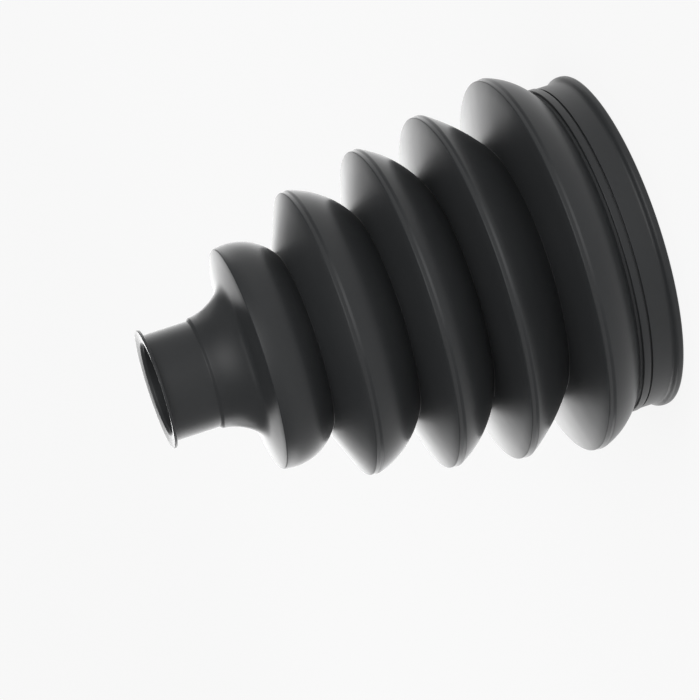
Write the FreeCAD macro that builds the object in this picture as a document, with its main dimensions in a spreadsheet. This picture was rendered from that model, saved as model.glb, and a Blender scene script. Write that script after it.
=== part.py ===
import FreeCAD, Part
import os

import Sketcher
from FreeCAD import Placement, Rotation, Vector

# Bellows boot of a drive shaft joint, moulded in one piece of black rubber.
# It stands on its large end: the origin is the centre of that rim and +Z is the boot's axis.
# Sizes are in millimetres, and heights are measured up from the large rim.

sizes = {
    "overall_length": 122.0,
    "bellows_wall": 1.8,
    # Large cuff, which fits over the joint's housing. Widths run up from its rim.
    "large_seat_radius": 42.25,
    "large_seat_width": 5.7,
    "large_lip_rise": 1.15,
    "large_lip_width": 2.1,
    "large_lip_round": 0.8,
    "large_bore_step": 0.1,
    "rib_rise": 0.25,
    "rib_width": 1.8,
    "rib_groove_width": 0.6,
    "rib_groove_depth": 0.6,
    "last_foot_land": 0.2,
    "last_foot_drop": 0.35,
    # Small cuff, which grips the shaft. Lengths run down from its mouth.
    "small_seat_radius": 13.6,
    "small_seat_length": 12.8,
    "small_cuff_wall": 2.1,
    "small_lip_rise": 1.6,
    "small_lip_width": 0.75,
    "small_root_length": 4.2,
    "small_step_rise": 0.6,
    # Both bores: a chamfer at the mouth, a slope at the inner end and two sealing grooves.
    "mouth_chamfer": 0.6,
    "bore_end_slope": 1.5,
    "seal_groove_width": 1.4,
    "seal_groove_depth": 0.5,
    "seal_groove_pitch": 3.0,
    "large_seal_height": 3.2,
    "small_seal_drop": 5.0,
    # Lengths along the axis, from the large cuff up. They share out what the cuffs and bands leave.
    "shoulder5_length": 9.3,
    "front5_length": 3.8,
    "shoulder4_length": 13.0,
    "front4_length": 3.7,
    "shoulder3_length": 12.1,
    "front3_length": 4.6,
    "shoulder2_length": 13.4,
    "front2_length": 5.9,
    "shoulder1_length": 14.2,
    "front1_length": 1.7,
    "flare_length": 9.7,
    # The first fold ends in a single edge, and the others in a narrow band with an edge at each side.
    "crest1_radius": 28.4,
    "crest2_radius": 36.7,
    "crest3_radius": 41.3,
    "crest4_radius": 44.7,
    "crest5_radius": 48.6,
    "band_width": 1.7,
    "band_rise": 0.2,
    "band_swell": 0.05,
    "valley1_radius": 23.0,
    "valley2_radius": 27.0,
    "valley3_radius": 29.7,
    "valley4_radius": 32.9,
    # How far the shoulder behind each crest swells out of the straight line down to its valley.
    "shoulder1_swell": 2.4,
    "shoulder2_swell": 1.6,
    "shoulder3_swell": 1.4,
    "shoulder4_swell": 0.8,
    "shoulder5_swell": 1.0,
    # Flare between the small cuff and the first fold.
    "flare_foot_radius": 19.1,
    "flare_hollow": 1.05,
}

# Places that follow from the sizes above.
places = {
    "ground": "0",
    "large_lip_radius": "large_seat_radius + large_lip_rise",
    "lip_face_radius": "large_lip_radius - large_lip_round",
    "lip_round_swell": "large_lip_round * (1 - sqrt(2) / 2)",
    "low_groove_bottom": "large_lip_width + large_seat_width",
    "low_groove_top": "low_groove_bottom + rib_groove_width",
    "high_groove_bottom": "low_groove_top + rib_width",
    "high_groove_top": "high_groove_bottom + rib_groove_width",
    "last_foot_height": "high_groove_top + last_foot_land",
    "rib_radius": "large_seat_radius + rib_rise",
    "rib_groove_radius": "large_seat_radius - rib_groove_depth",
    "last_foot_radius": "large_seat_radius - last_foot_drop",
    "large_root_radius": "last_foot_radius - bellows_wall / 2",
    "large_bore_radius": "last_foot_radius - bellows_wall - large_bore_step",
    "large_mouth_radius": "large_bore_radius + mouth_chamfer",
    "large_bore_end": "last_foot_height - bore_end_slope",
    "wall_tail_height": "last_foot_height - bellows_wall",
    "small_bore_radius": "small_seat_radius - small_cuff_wall",
    "small_lip_radius": "small_seat_radius + small_lip_rise",
    "small_lip_bottom": "overall_length - small_lip_width",
    "small_mouth_radius": "small_bore_radius + mouth_chamfer",
    "small_chamfer_height": "overall_length - mouth_chamfer",
    "small_step_height": "overall_length - small_seat_length",
    "small_step_radius": "small_seat_radius + small_step_rise",
    "small_cuff_bottom": "small_step_height - small_root_length",
    "small_bore_end": "small_cuff_bottom + bore_end_slope",
    "large_groove_radius": "large_bore_radius + seal_groove_depth",
    "small_groove_radius": "small_bore_radius + seal_groove_depth",
    "large_seal1_height": "large_seal_height",
    "large_seal2_height": "large_seal_height + seal_groove_pitch",
    "small_seal1_height": "overall_length - small_seal_drop - seal_groove_pitch",
    "small_seal2_height": "overall_length - small_seal_drop",
}
shared = [f"{run}{number}_length" for run in ("shoulder", "front") for number in (1, 2, 3, 4, 5)]
shared.append("flare_length")
places["fold_room"] = "small_step_height - last_foot_height - 4 * band_width"
places["fold_share"] = "fold_room / (" + " + ".join(shared) + ")"
below = "last_foot_height"
for number in (5, 4, 3, 2):
    places[f"band{number}_height"] = f"{below} + shoulder{number}_length * fold_share"
    places[f"band{number}_radius"] = f"crest{number}_radius + band_rise"
    places[f"crest{number}_height"] = f"band{number}_height + band_width"
    places[f"valley{number - 1}_height"] = f"crest{number}_height + front{number}_length * fold_share"
    below = f"valley{number - 1}_height"
places["crest1_height"] = "valley1_height + shoulder1_length * fold_share"
places["flare_foot_height"] = "crest1_height + front1_length * fold_share"
for cuff in ("large", "small"):
    for number in (1, 2):
        seal = f"{cuff}_seal{number}"
        places[f"{seal}_bottom"] = f"{seal}_height - seal_groove_width / 2"
        places[f"{seal}_floor_bottom"] = f"{seal}_height - seal_groove_width / 4"
        places[f"{seal}_floor_top"] = f"{seal}_height + seal_groove_width / 4"
        places[f"{seal}_top"] = f"{seal}_height + seal_groove_width / 2"


def fillSheet(doc):
    """Write each size and place on a row of its own and name its cell."""
    sheet = doc.addObject("Spreadsheet::Sheet", "Sizes")
    rows = [(name, str(size)) for name, size in sizes.items()]
    rows += [(name, "=" + formula) for name, formula in places.items()]
    for row, (name, content) in enumerate(rows, start=1):
        sheet.set(f"A{row}", name)
        sheet.set(f"B{row}", content)
        sheet.setAlias(f"B{row}", name)
    doc.recompute()
    return sheet


def bowRadius(first, second, swell):
    """Formula for the radius of an arc over two corners that rises by swell in its middle."""
    across = f"(Sizes.{first[0]} - Sizes.{second[0]})"
    along = f"(Sizes.{first[1]} - Sizes.{second[1]})"
    return f"({across} * {across} + {along} * {along}) / (8 * Sizes.{swell}) + Sizes.{swell} / 2"


def drawOutline(doc, name, corners, bows, closed):
    """Sketch an upright outline through corners, each a pair of cell names for radius and height.

    A bow makes an arc of the stretch after its corner: +1 swells it outwards, -1 hollows it.
    """
    sketch = doc.addObject("Sketcher::SketchObject", name)
    sketch.Placement = Placement(Vector(), Rotation(Vector(1, 0, 0), 90))
    sheet = doc.Sizes
    points = [Vector(sheet.get(radius), sheet.get(height), 0) for radius, height in corners]
    stretches = len(corners) if closed else len(corners) - 1
    ends = []
    for index in range(stretches):
        following = (index + 1) % len(corners)
        start, finish = points[index], points[following]
        if index in bows:
            swell, side = bows[index]
            run = (finish - start).normalize()
            middle = (start + finish) / 2 + Vector(run.y, -run.x, 0) * side * sheet.get(swell)
            piece = sketch.addGeometry(Part.Arc(start, middle, finish))
            formula = bowRadius(corners[index], corners[following], swell)
            radius = sketch.Geometry[piece].Radius
            bound = sketch.addConstraint(Sketcher.Constraint("Radius", piece, radius))
            sketch.renameConstraint(bound, f"bow{index}")
            sketch.setExpression(f"Constraints.bow{index}", formula)
        else:
            piece = sketch.addGeometry(Part.LineSegment(start, finish))
        forward = sketch.getPoint(piece, 1).isEqual(start, 1e-6)
        ends.append((piece, 1, 2) if forward else (piece, 2, 1))
    for index, (piece, startEnd, finishEnd) in enumerate(ends):
        if index + 1 < stretches or closed:
            nextPiece, nextEnd, _ = ends[(index + 1) % stretches]
            sketch.addConstraint(Sketcher.Constraint("Coincident", piece, finishEnd, nextPiece, nextEnd))
        pinCorner(sketch, index, piece, startEnd, corners[index], points[index])
    if not closed:
        piece, _, finishEnd = ends[-1]
        pinCorner(sketch, stretches, piece, finishEnd, corners[-1], points[-1])
    return sketch


def pinCorner(sketch, index, piece, end, corner, point):
    """Bind one corner's radius and height to their cells."""
    radiusCell, heightCell = corner
    bonds = (("radius", "DistanceX", radiusCell, point.x), ("height", "DistanceY", heightCell, point.y))
    for label, kind, cell, size in bonds:
        bound = sketch.addConstraint(Sketcher.Constraint(kind, -1, 1, piece, end, size))
        sketch.renameConstraint(bound, f"{label}{index}")
        sketch.setExpression(f"Constraints.{label}{index}", f"Sizes.{cell}")


def revolve(doc, name, section):
    """Turn a section about the boot's axis into a solid ring."""
    ring = doc.addObject("Part::Revolution", name)
    ring.Source = section
    ring.Axis = Vector(0, 0, 1)
    ring.Angle = 360
    ring.Solid = True
    return ring


def sealGrooves(cuff):
    """Corners of a cuff's two sealing grooves, from the top one down."""
    corners = []
    for number in (2, 1):
        seal = f"{cuff}_seal{number}"
        corners.append((f"{cuff}_bore_radius", f"{seal}_top"))
        corners.append((f"{cuff}_groove_radius", f"{seal}_floor_top"))
        corners.append((f"{cuff}_groove_radius", f"{seal}_floor_bottom"))
        corners.append((f"{cuff}_bore_radius", f"{seal}_bottom"))
    return corners


def makeBellows(doc):
    """Folded wall: its outer outline from the large cuff up to the small one, thickened inwards."""
    corners = [("last_foot_radius", "wall_tail_height"), ("last_foot_radius", "last_foot_height")]
    bows = {}
    for number in (5, 4, 3, 2):
        bows[len(corners) - 1] = (f"shoulder{number}_swell", 1)
        corners.append((f"band{number}_radius", f"band{number}_height"))
        bows[len(corners) - 1] = ("band_swell", 1)
        corners.append((f"crest{number}_radius", f"crest{number}_height"))
        corners.append((f"valley{number - 1}_radius", f"valley{number - 1}_height"))
    bows[len(corners) - 1] = ("shoulder1_swell", 1)
    corners.append(("crest1_radius", "crest1_height"))
    corners.append(("flare_foot_radius", "flare_foot_height"))
    bows[len(corners) - 1] = ("flare_hollow", -1)
    corners.append(("small_step_radius", "small_step_height"))
    outline = drawOutline(doc, "bellows_outline", corners, bows, closed=False)

    section = doc.addObject("Part::Offset2D", "bellows_section")
    section.Source = outline
    section.Mode = "Skin"
    section.Join = "Arc"
    section.Fill = True
    section.setExpression("Value", "Sizes.bellows_wall")
    return revolve(doc, "bellows", section)


def makeLargeCuff(doc):
    """Smooth seat between the rim's lip and a fine rib, with a groove at each side of the rib."""
    corners = [
        ("large_mouth_radius", "ground"),
        ("lip_face_radius", "ground"),
        ("large_lip_radius", "large_lip_round"),
        ("large_lip_radius", "large_lip_width"),
        ("large_seat_radius", "large_lip_width"),
        ("large_seat_radius", "low_groove_bottom"),
        ("rib_groove_radius", "low_groove_bottom"),
        ("rib_groove_radius", "low_groove_top"),
        ("rib_radius", "low_groove_top"),
        ("rib_radius", "high_groove_bottom"),
        ("rib_groove_radius", "high_groove_bottom"),
        ("rib_groove_radius", "high_groove_top"),
        ("last_foot_radius", "high_groove_top"),
        ("last_foot_radius", "last_foot_height"),
        ("large_root_radius", "last_foot_height"),
        ("large_bore_radius", "large_bore_end"),
    ]
    corners += sealGrooves("large")
    corners.append(("large_bore_radius", "mouth_chamfer"))
    bows = {1: ("lip_round_swell", 1)}
    outline = drawOutline(doc, "large_cuff_outline", corners, bows, closed=True)
    return revolve(doc, "large_cuff", outline)


def makeSmallCuff(doc):
    """Smooth seat between the mouth's thin lip and the step where the flare begins."""
    corners = [
        ("small_bore_radius", "small_bore_end"),
        ("small_seat_radius", "small_cuff_bottom"),
        ("small_seat_radius", "small_lip_bottom"),
        ("small_lip_radius", "small_lip_bottom"),
        ("small_lip_radius", "overall_length"),
        ("small_mouth_radius", "overall_length"),
        ("small_bore_radius", "small_chamfer_height"),
    ]
    corners += sealGrooves("small")
    outline = drawOutline(doc, "small_cuff_outline", corners, {}, closed=True)
    return revolve(doc, "small_cuff", outline)


def checkAndWrite(doc, part):
    """Stop on any failed object, then write the part's shape."""
    for item in doc.Objects:
        if "Invalid" in item.State or "Error" in item.State:
            raise RuntimeError(f"{item.Name} failed: {item.State}")
    if part.Shape.isNull() or not part.Shape.isValid() or len(part.Shape.Solids) != 1:
        raise RuntimeError(f"{part.Label} is not one sound solid")
    os.makedirs("parts", exist_ok=True)
    part.Shape.exportStep(f"parts/{part.Label}.step")
    box = part.Shape.optimalBoundingBox(False, False)
    print(f"{part.Label}: {part.Shape.Volume / 1000:.2f} cm3")
    print(f"box: {box.XLength:.2f} x {box.YLength:.2f} x {box.ZLength:.2f} mm")


doc = FreeCAD.newDocument("boot")
fillSheet(doc)
boot = doc.addObject("Part::MultiFuse", "boot")
boot.Label = "bellows_boot"
boot.Shapes = [makeBellows(doc), makeLargeCuff(doc), makeSmallCuff(doc)]
boot.Refine = True
boot.Placement = Placement(Vector(), Rotation())
doc.recompute()
checkAndWrite(doc, boot)
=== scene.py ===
from math import acos, cos, pi, radians, sin, sqrt

import bpy
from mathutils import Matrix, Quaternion, Vector


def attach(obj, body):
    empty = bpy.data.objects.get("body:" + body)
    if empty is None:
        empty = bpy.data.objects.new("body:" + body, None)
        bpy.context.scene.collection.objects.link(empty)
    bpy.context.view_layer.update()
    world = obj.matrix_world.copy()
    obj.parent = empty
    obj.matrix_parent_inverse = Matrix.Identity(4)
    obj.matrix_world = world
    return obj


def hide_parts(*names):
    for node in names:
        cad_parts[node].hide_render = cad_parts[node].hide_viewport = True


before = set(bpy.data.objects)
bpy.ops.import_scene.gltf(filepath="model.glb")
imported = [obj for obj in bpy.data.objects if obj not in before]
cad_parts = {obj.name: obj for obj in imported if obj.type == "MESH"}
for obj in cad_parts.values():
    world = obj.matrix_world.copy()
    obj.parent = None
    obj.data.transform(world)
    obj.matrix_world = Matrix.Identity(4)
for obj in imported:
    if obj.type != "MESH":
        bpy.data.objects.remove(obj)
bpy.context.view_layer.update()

scene = bpy.context.scene
scene.view_settings.view_transform = "Standard"
mm = 0.001


class Wire:
    # one output of a node, so that sums on it read as sums
    def __init__(self, recipe, output):
        self.recipe = recipe
        self.output = output

    def sum(self, operation, first, second):
        node = self.recipe.add("ShaderNodeMath", {"operation": operation}, {0: first, 1: second})
        return Wire(self.recipe, node.outputs[0])

    def __add__(self, other):
        return self.sum("ADD", self, other)

    def __radd__(self, other):
        return self.sum("ADD", other, self)

    def __sub__(self, other):
        return self.sum("SUBTRACT", self, other)

    def __rsub__(self, other):
        return self.sum("SUBTRACT", other, self)

    def __mul__(self, other):
        return self.sum("MULTIPLY", self, other)

    def __rmul__(self, other):
        return self.sum("MULTIPLY", other, self)

    def atLeast(self, other):
        return self.sum("MAXIMUM", self, other)

    def atMost(self, other):
        return self.sum("MINIMUM", self, other)

    def power(self, other):
        return self.sum("POWER", self, other)


class Recipe:
    # a material or the world, built up node by node
    def __init__(self, owner):
        owner.use_nodes = True
        self.tree = owner.node_tree
        self.tree.nodes.clear()

    def add(self, kind, settings=None, sockets=None):
        node = self.tree.nodes.new(kind)
        for name, value in (settings or {}).items():
            setattr(node, name, value)
        for name, value in (sockets or {}).items():
            if isinstance(value, Wire):
                self.tree.links.new(value.output, node.inputs[name])
            else:
                node.inputs[name].default_value = value
        return node

    def wire(self, kind, settings=None, sockets=None, output=0):
        return Wire(self, self.add(kind, settings, sockets).outputs[output])


# the boot's section, in millimetres: radius first, then height above the large rim
boot = {
    "length": 122.0, "wall": 1.8,
    "largeBore": 40.0, "largeSeat": 42.25, "largeLip": 43.4, "largeLipWidth": 2.1, "largeLipRound": 0.8,
    "ribHeight": 9.3, "ribWidth": 1.8, "ribRadius": 42.5, "grooveWidth": 0.6, "grooveDepth": 0.6,
    "smallBore": 11.5, "smallSeat": 13.6, "smallLip": 15.2, "smallLipWidth": 0.75,
    "smallSeatLength": 12.8, "smallCuffLength": 17.0, "stepRise": 0.6,
    "mouthChamfer": 0.6, "mouthFall": 0.40, "boreSlope": 1.5, "boreSpread": (1.0, 0.7),
    "sealWidth": 1.4, "sealDepth": 0.5, "sealPitch": 3.0, "largeSealHeight": 3.2, "smallSealDrop": 5.0,
    "flareFoot": (19.1, 99.5), "flareHollow": 1.05,
    "crests": [(28.4, 97.8), (36.7, 77.7), (41.3, 58.0), (44.7, 40.5), (48.6, 22.0)],
    "valleys": [(23.0, 83.6), (27.0, 62.6), (29.7, 44.2), (32.9, 25.8)],
    "lastFoot": (41.9, 11.0),
    "swells": [2.17, 1.6, 1.4, 0.8, 1.0],
    "bandWidth": 1.7, "bandRise": 0.2, "bandHollow": 0.2, "bandLand": 0.6,
    "firstBand": 0.8, "firstRise": 0.17,
    "turns": 192,  # steps round the axis
}

# how far each kind of moulded edge is rounded back, in millimetres
edges = {
    "firstCrest": 0.25, "crestFront": 0.32, "crestBack": 0.25, "band": 0.15, "valley": 0.15,
    "lip": 0.25, "rib": 0.2, "groove": 0.08, "seat": 0.45, "step": 0.35, "foot": 0.9,
    "mouth": 0.2, "flare": 1.6, "boreEnd": 0.3, "innerFoot": 0.1,
}

# how the section is drawn
drawing = {
    "roundSteps": 4, "boreRoundSteps": 3,  # steps in one rounding
    "roundReach": 0.45, "lastReach": 0.9,  # the share of a run, and of its last step, that a rounding may take
    "innerBend": 0.02, "fanTurn": 0.12,  # past this bend the inner line fans out, by this turn a point
    "innerKeep": 0.985, "innerSpacing": 0.6,  # the share of the wall that has to be left, and millimetres between points
}

# how the lines of the folded wall join those of the cuffs, in millimetres
joins = {"foldStart": 0.01, "seatClear": 0.5, "innerStart": 0.9, "innerEnd": 1.2, "mouthSide": 0.1, "mouthDrop": 1.35}


def stretchPoints(start, finish, swell, steps):
    # a straight run, or an arc that swells to its right by the given height
    along = finish - start
    chord = along.length
    if abs(swell) < 1e-6:
        return [start + along * (i / steps) for i in range(steps + 1)]
    side = Vector((along.y, -along.x)) / chord
    radius = (chord * chord / 4 + swell * swell) / (2 * swell)
    centre = (start + finish) / 2 + side * (swell - radius)
    half = chord / 2 / abs(radius)
    sweep = 2 * acos(sqrt(1 - half * half))
    arm = start - centre
    points = []
    for i in range(steps + 1):
        turn = sweep * i / steps * (1 if swell > 0 else -1)
        turned = Vector((arm.x * cos(turn) - arm.y * sin(turn), arm.x * sin(turn) + arm.y * cos(turn)))
        points.append(centre + turned)
    return points


def cutBack(points, distance, fromStart):
    # shortens a run of points by a distance measured along it
    run = points if fromStart else points[::-1]
    distance = min(distance, drawing["roundReach"] * sum((b - a).length for a, b in zip(run, run[1:])))
    while len(run) > 2 and (run[1] - run[0]).length <= distance:
        distance -= (run[1] - run[0]).length
        run = run[1:]
    step = run[1] - run[0]
    if step.length > 1e-9:
        run = [run[0] + step * min(drawing["lastReach"], distance / step.length)] + run[1:]
    return run if fromStart else run[::-1]


def outline(corners, roundSteps):
    # corners are (radius, height, round, swell of the next run, steps of the next run)
    places = [Vector(corner[:2]) for corner in corners]
    runs = []
    for corner, start, finish in zip(corners, places, places[1:]):
        runs.append(stretchPoints(start, finish, corner[3], corner[4]))
    for i in range(1, len(places) - 1):
        if corners[i][2] > 0:
            runs[i - 1] = cutBack(runs[i - 1], corners[i][2], False)
            runs[i] = cutBack(runs[i], corners[i][2], True)
    points = list(runs[0])
    for i in range(1, len(runs)):
        first, corner, last = runs[i - 1][-1], places[i], runs[i][0]
        if corners[i][2] > 0:
            for k in range(1, roundSteps):
                t = k / roundSteps
                points.append(first * (1 - t) ** 2 + corner * 2 * t * (1 - t) + last * t ** 2)
            points.append(last)
        points += runs[i][1:]
    return points


def foldCorners():
    # outer line of the folded wall, from its foot on the large cuff up to the end of the flare
    corners = [(*boot["lastFoot"], edges["foot"], boot["swells"][4], 12)]
    for number in (4, 3, 2, 1):
        radius, height = boot["crests"][number]
        corners.append((radius + boot["bandRise"], height - boot["bandWidth"], edges["crestBack"], 0, 2))
        corners.append((radius + boot["bandRise"] * boot["bandLand"] - boot["bandHollow"],
                        height - boot["bandWidth"] * boot["bandLand"], edges["band"], 0, 2))
        corners.append((radius, height, edges["crestFront"], 0, 5))
        corners.append((*boot["valleys"][number - 1], edges["valley"], boot["swells"][number - 1], 12))
    radius, height = boot["crests"][0]
    corners.append((radius + boot["firstRise"], height - boot["firstBand"], edges["band"], 0, 2))
    corners.append((radius, height, edges["firstCrest"], 0, 4))
    corners.append((*boot["flareFoot"], edges["flare"], -boot["flareHollow"], 8))
    return corners


def foldedInside(outside):
    # the wall's inner line: every point a wall's thickness in, less those that would cross over
    wall = boot["wall"]
    moved = []
    for before, here, after in zip(outside, outside[1:], outside[2:]):
        first = (here - before).normalized()
        second = (after - here).normalized()
        bend = first.x * second.y - first.y * second.x
        normals = [Vector((-first.y, first.x)), Vector((-second.y, second.x))]
        if bend < -drawing["innerBend"]:
            steps = max(1, round(abs(bend) / drawing["fanTurn"]))
            for k in range(steps + 1):
                normal = normals[0].lerp(normals[1], k / steps).normalized()
                moved.append(here + normal * wall)
        else:
            moved.append(here + (normals[0] + normals[1]).normalized() * wall)
    kept = []
    for point in moved:
        gap = min(distanceToRun(point, a, b) for a, b in zip(outside, outside[1:]))
        spaced = not kept or (point - kept[-1]).length > drawing["innerSpacing"]
        if gap > wall * drawing["innerKeep"] and spaced:
            kept.append(point)
    return kept


def distanceToRun(point, start, finish):
    along = finish - start
    t = max(0, min(1, (point - start).dot(along) / max(1e-12, along.length_squared)))
    return (point - start - along * t).length


def sealLine(bore, heights):
    # shallow sealing grooves in a cuff's bore, one for each height; way is 1 going up and -1 going down
    points = []
    for height, way in heights:
        for shift, depth in ((-0.5, 0), (-0.25, 1), (0.25, 1), (0.5, 0)):
            points.append((bore + depth * boot["sealDepth"], height + way * shift * boot["sealWidth"]))
    return points


def section():
    # the whole closed section: up the outside, down the inside
    seat, lip = boot["largeSeat"], boot["largeLip"]
    low = boot["ribHeight"] - boot["ribWidth"] / 2
    high = boot["ribHeight"] + boot["ribWidth"] / 2
    floor = seat - boot["grooveDepth"]
    width, foot = boot["grooveWidth"], boot["lastFoot"]
    rib, groove = edges["rib"], edges["groove"]
    cuff = [
        (boot["largeBore"] + boot["mouthChamfer"], 0, 0, 0, 2),
        (lip, 0, boot["largeLipRound"], 0, 2),
        (lip, boot["largeLipWidth"] - edges["seat"], edges["seat"], 0, 2),
        (seat, boot["largeLipWidth"] + edges["seat"], edges["seat"], 0, 5),
        (seat, low - width, rib / 2, 0, 1),
        (floor, low - width, groove, 0, 1),
        (floor, low, groove, 0, 1),
        (boot["ribRadius"], low, rib, 0, 2),
        (boot["ribRadius"], high, rib, 0, 1),
        (floor, high, groove, 0, 1),
        (floor, high + width, groove, 0, 1),
        (foot[0], high + width, groove, 0, 1),
    ]
    top, small, step = boot["length"], boot["smallSeat"], boot["length"] - boot["smallSeatLength"]
    collar = [
        (small + boot["stepRise"], step - edges["step"], edges["step"] / 2, 0, 1),
        (small, step + edges["step"], edges["step"] / 2, 0, 6),
        (small, top - boot["smallLipWidth"], groove, 0, 2),
        (boot["smallLip"], top - boot["smallLipWidth"], edges["lip"], 0, 1),
        (boot["smallLip"], top, edges["lip"], 0, 3),
        (boot["smallBore"] + boot["mouthChamfer"], top - boot["mouthFall"], edges["mouth"], 0, 1),
        (boot["smallBore"], top - boot["mouthFall"] - boot["mouthChamfer"], edges["mouth"], 0, 2),
    ]
    drop, pitch = top - boot["smallSealDrop"], boot["sealPitch"]
    collar += [(r, z, groove, 0, 1) for r, z in sealLine(boot["smallBore"], ((drop, -1), (drop - pitch, -1)))]
    boreEnd = top - boot["smallCuffLength"] + boot["boreSlope"]
    collar.append((boot["smallBore"], boreEnd, edges["boreEnd"], 0, 2))
    collar.append((boot["smallBore"] + boot["boreSpread"][0], boreEnd - boot["boreSpread"][1], 0, 0, 1))
    points = outline(cuff + foldCorners() + collar, drawing["roundSteps"])
    outside = [point for point in points
               if foot[1] - joins["foldStart"] <= point.y <= step and point.x > small + joins["seatClear"]]
    inside = [point for point in foldedInside(outside)
              if foot[1] - joins["innerStart"] < point.y < boreEnd - joins["innerEnd"]]
    points += inside[::-1]
    bore, seal = boot["largeBore"], boot["largeSealHeight"]
    mouth = [
        (bore + joins["mouthSide"], foot[1] - joins["mouthDrop"], 0, 0, 1),
        (bore, foot[1] - boot["boreSlope"], edges["innerFoot"], 0, 1),
    ]
    mouth += [(r, z, groove, 0, 1) for r, z in sealLine(bore, ((seal + pitch, -1), (seal, -1)))]
    mouth.append((bore, boot["mouthChamfer"], edges["mouth"], 0, 1))
    mouth.append((bore + boot["mouthChamfer"], 0, 0, 0, 1))
    points += outline(mouth, drawing["boreRoundSteps"])[:-1]
    return points


def turnSection(name, points, turns):
    # turns a closed section about the boot's axis
    mesh = bpy.data.meshes.new(name)
    spots = []
    for i in range(turns):
        angle = 2 * pi * i / turns
        spots += [(p.x * mm * cos(angle), p.x * mm * sin(angle), p.y * mm) for p in points]
    count = len(points)
    faces = []
    for i in range(turns):
        here, following = i * count, (i + 1) % turns * count
        for k in range(count):
            after = (k + 1) % count
            faces.append((here + k, following + k, following + after, here + after))
    mesh.from_pydata(spots, [], faces)
    mesh.update()
    for face in mesh.polygons:
        face.use_smooth = True
    piece = bpy.data.objects.new(name, mesh)
    scene.collection.objects.link(piece)
    return piece


# black moulded rubber
rubber = {
    "dark": (0.025, 0.0265, 0.028, 1), "pale": (0.034, 0.0355, 0.037, 1),
    "roughness": 0.32, "roughnessSpread": 0.08, "specular": 0.28,
    "cloudSize": 60.0, "fineSize": 700.0, "cloudShare": 0.7, "fineShare": 0.3,
    "grainSize": 1500.0, "grainDepth": 0.00001, "waveSize": 90.0, "waveDepth": 0.00006,
}


def makeRubber():
    material = bpy.data.materials.new("blackRubber")
    recipe = Recipe(material)
    place = recipe.wire("ShaderNodeTexCoord", output="Object")
    cloud = recipe.wire("ShaderNodeTexNoise", {},
                        {"Vector": place, "Scale": rubber["cloudSize"], "Detail": 5.0, "Roughness": 0.6})
    fine = recipe.wire("ShaderNodeTexNoise", {}, {"Vector": place, "Scale": rubber["fineSize"], "Detail": 3.0})
    mottle = cloud * rubber["cloudShare"] + fine * rubber["fineShare"]
    colour = recipe.wire("ShaderNodeMix", {"data_type": "RGBA"},
                         {0: mottle, 6: rubber["dark"], 7: rubber["pale"]}, output=2)
    roughness = rubber["roughness"] + (mottle - 0.5) * rubber["roughnessSpread"]
    grain = recipe.wire("ShaderNodeTexNoise", {}, {"Vector": place, "Scale": rubber["grainSize"], "Detail": 2.0})
    wave = recipe.wire("ShaderNodeTexNoise", {}, {"Vector": place, "Scale": rubber["waveSize"], "Detail": 1.0})
    low = recipe.wire("ShaderNodeBump", {}, {"Strength": 1.0, "Distance": rubber["waveDepth"], "Height": wave})
    bump = recipe.wire("ShaderNodeBump", {},
                       {"Strength": 1.0, "Distance": rubber["grainDepth"], "Height": grain, "Normal": low})
    surface = recipe.wire("ShaderNodeBsdfPrincipled", {},
                          {"Base Color": colour, "Roughness": roughness, "Normal": bump,
                           "Specular IOR Level": rubber["specular"]})
    recipe.add("ShaderNodeOutputMaterial", {}, {"Surface": surface})
    return material


points = section()
print("section of", len(points), "points")
body = turnSection("bootBody", points, boot["turns"])
body.data.materials.append(makeRubber())
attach(body, "root")
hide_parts("bellows_boot")
print("boot turned:", len(body.data.polygons), "faces")


# a white floor, with a painted glow towards the back, brighter than white, that only reflections see
stage = {
    "floorRadius": 12.0, "floorSides": 96, "floorColour": (0.80, 0.80, 0.80, 1), "floorWhite": 0.88,
    "paintedGlowToward": (0.0, 1.0, 0.0), "paintedGlowNarrow": 3.0, "paintedGlowStrength": 2.8,
}

# how bright the surround is towards each side; east is +X and back is +Y
surround = {"east": 0.4, "west": 0.45, "back": 0.0, "front": 0.65, "above": 0.2, "below": 0.0}

# soft bright fields of the surround: where each lies, how bright it is and how tightly it is drawn in
fields = {
    "behind": {"toward": (0.0, 0.998, 0.06), "glow": 4.3, "narrow": 20.0},
    "frontHigh": {"toward": (0.25, -0.785, 0.565), "glow": 2.4, "narrow": 9.0},
}

# soft panels, all turned to the boot's middle: place and size in metres, glow is the brightness of a panel's face
panelAim = (0.0, 0.0, 0.06)
panels = {
    "eastPanel": {"place": (0.75, 0.65, 0.10), "size": (0.6, 0.6), "glow": 0.75},
    "westPanel": {"place": (-0.75, 0.65, 0.10), "size": (0.6, 0.6), "glow": 1.9},
    "topPanel": {"place": (0.0, 0.08, 1.0), "size": (0.5, 0.3), "glow": 1.2},
}


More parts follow.
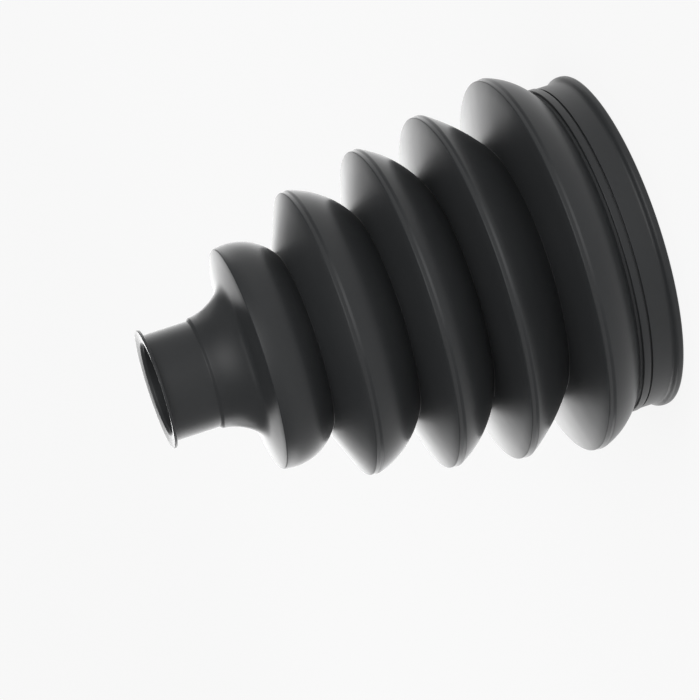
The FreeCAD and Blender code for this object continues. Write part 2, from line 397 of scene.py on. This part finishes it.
def makeFloor():
    mesh = bpy.data.meshes.new("floor")
    radius, sides = stage["floorRadius"], stage["floorSides"]
    rim = [(radius * cos(2 * pi * i / sides), radius * sin(2 * pi * i / sides), 0) for i in range(sides)]
    mesh.from_pydata(rim, [], [tuple(range(sides))])
    floor = bpy.data.objects.new("floor", mesh)
    scene.collection.objects.link(floor)
    material = bpy.data.materials.new("paleFloor")
    recipe = Recipe(material)
    path = recipe.add("ShaderNodeLightPath")
    seen = Wire(recipe, path.outputs["Is Camera Ray"]) + Wire(recipe, path.outputs["Is Glossy Ray"])
    matt = recipe.wire("ShaderNodeBsdfDiffuse", {}, {"Color": stage["floorColour"]})
    white = recipe.wire("ShaderNodeEmission", {}, {"Color": (1, 1, 1, 1), "Strength": 1.0})
    mixed = recipe.wire("ShaderNodeMixShader", {}, {0: seen.atMost(1) * stage["floorWhite"], 1: matt, 2: white})
    # painted glow: where the boot mirrors the floor behind it, the floor glows brighter than white for reflections
    # only, nearly as bright as the surround there
    place = recipe.wire("ShaderNodeTexCoord", output="Object")
    way = recipe.wire("ShaderNodeVectorMath", {"operation": "NORMALIZE"}, {0: place})
    facing = recipe.wire("ShaderNodeVectorMath", {"operation": "DOT_PRODUCT"},
                         {0: way, 1: stage["paintedGlowToward"]}, output="Value").atLeast(0)
    paintedGlowMask = Wire(recipe, path.outputs["Is Glossy Ray"]) * facing.power(stage["paintedGlowNarrow"])
    paintedGlow = recipe.wire("ShaderNodeEmission", {}, {"Color": (1, 1, 1, 1), "Strength": stage["paintedGlowStrength"]})
    lit = recipe.wire("ShaderNodeMixShader", {}, {0: paintedGlowMask, 1: mixed, 2: paintedGlow})
    recipe.add("ShaderNodeOutputMaterial", {}, {"Surface": lit})
    mesh.materials.append(material)


def makeWorld():
    world = bpy.data.worlds.new("whiteSurround")
    scene.world = world
    recipe = Recipe(world)
    way = recipe.wire("ShaderNodeTexCoord", output="Generated")
    parts = recipe.add("ShaderNodeSeparateXYZ", {}, {0: way})
    level = 0
    for axis, ahead, behind in (("X", "east", "west"), ("Y", "back", "front"), ("Z", "above", "below")):
        part = Wire(recipe, parts.outputs[axis])
        toward, away = part.atLeast(0), (0 - part).atLeast(0)
        level = level + toward * toward * surround[ahead] + away * away * surround[behind]
    for field in fields.values():
        facing = recipe.wire("ShaderNodeVectorMath", {"operation": "DOT_PRODUCT"},
                             {0: way, 1: field["toward"]}, output="Value").atLeast(0)
        level = level + facing.power(field["narrow"]) * field["glow"]
    light = recipe.wire("ShaderNodeBackground", {}, {"Color": (1, 1, 1, 1), "Strength": level})
    white = recipe.wire("ShaderNodeBackground", {}, {"Color": (1, 1, 1, 1), "Strength": 1.0})
    seen = recipe.wire("ShaderNodeLightPath", output="Is Camera Ray")
    mixed = recipe.wire("ShaderNodeMixShader", {}, {0: seen, 1: light, 2: white})
    recipe.add("ShaderNodeOutputWorld", {}, {"Surface": mixed})


def addPanel(name, panel):
    lamp = bpy.data.lights.new(name, "AREA")
    lamp.shape = "RECTANGLE"
    lamp.size, lamp.size_y = panel["size"]
    lamp.energy = panel["glow"] * pi * lamp.size * lamp.size_y
    thing = bpy.data.objects.new(name, lamp)
    scene.collection.objects.link(thing)
    thing.location = panel["place"]
    thing.rotation_mode = "QUATERNION"
    thing.rotation_quaternion = (Vector(panelAim) - Vector(panel["place"])).to_track_quat("-Z", "Y")
    thing.visible_camera = False


# long lens, rolled so that the standing boot leans through the frame
view = {
    "place": (0.0, -0.7055, 0.1995), "ahead": (-0.00786, 0.98418, -0.1769), "roll": -108.13,
    "lens": 148.63, "filmWidth": 36.0, "nearest": 0.01,
}


def addCamera():
    camera = bpy.data.cameras.new("camera")
    camera.lens = view["lens"]
    camera.sensor_width = view["filmWidth"]
    camera.clip_start = view["nearest"]
    thing = bpy.data.objects.new("camera", camera)
    scene.collection.objects.link(thing)
    thing.location = view["place"]
    thing.rotation_mode = "QUATERNION"
    turn = Vector(view["ahead"]).to_track_quat("-Z", "Y")
    thing.rotation_quaternion = turn @ Quaternion((0, 0, 1), radians(view["roll"]))
    scene.camera = thing


makeFloor()
makeWorld()
for name, panel in panels.items():
    addPanel(name, panel)
addCamera()
print("stage set")
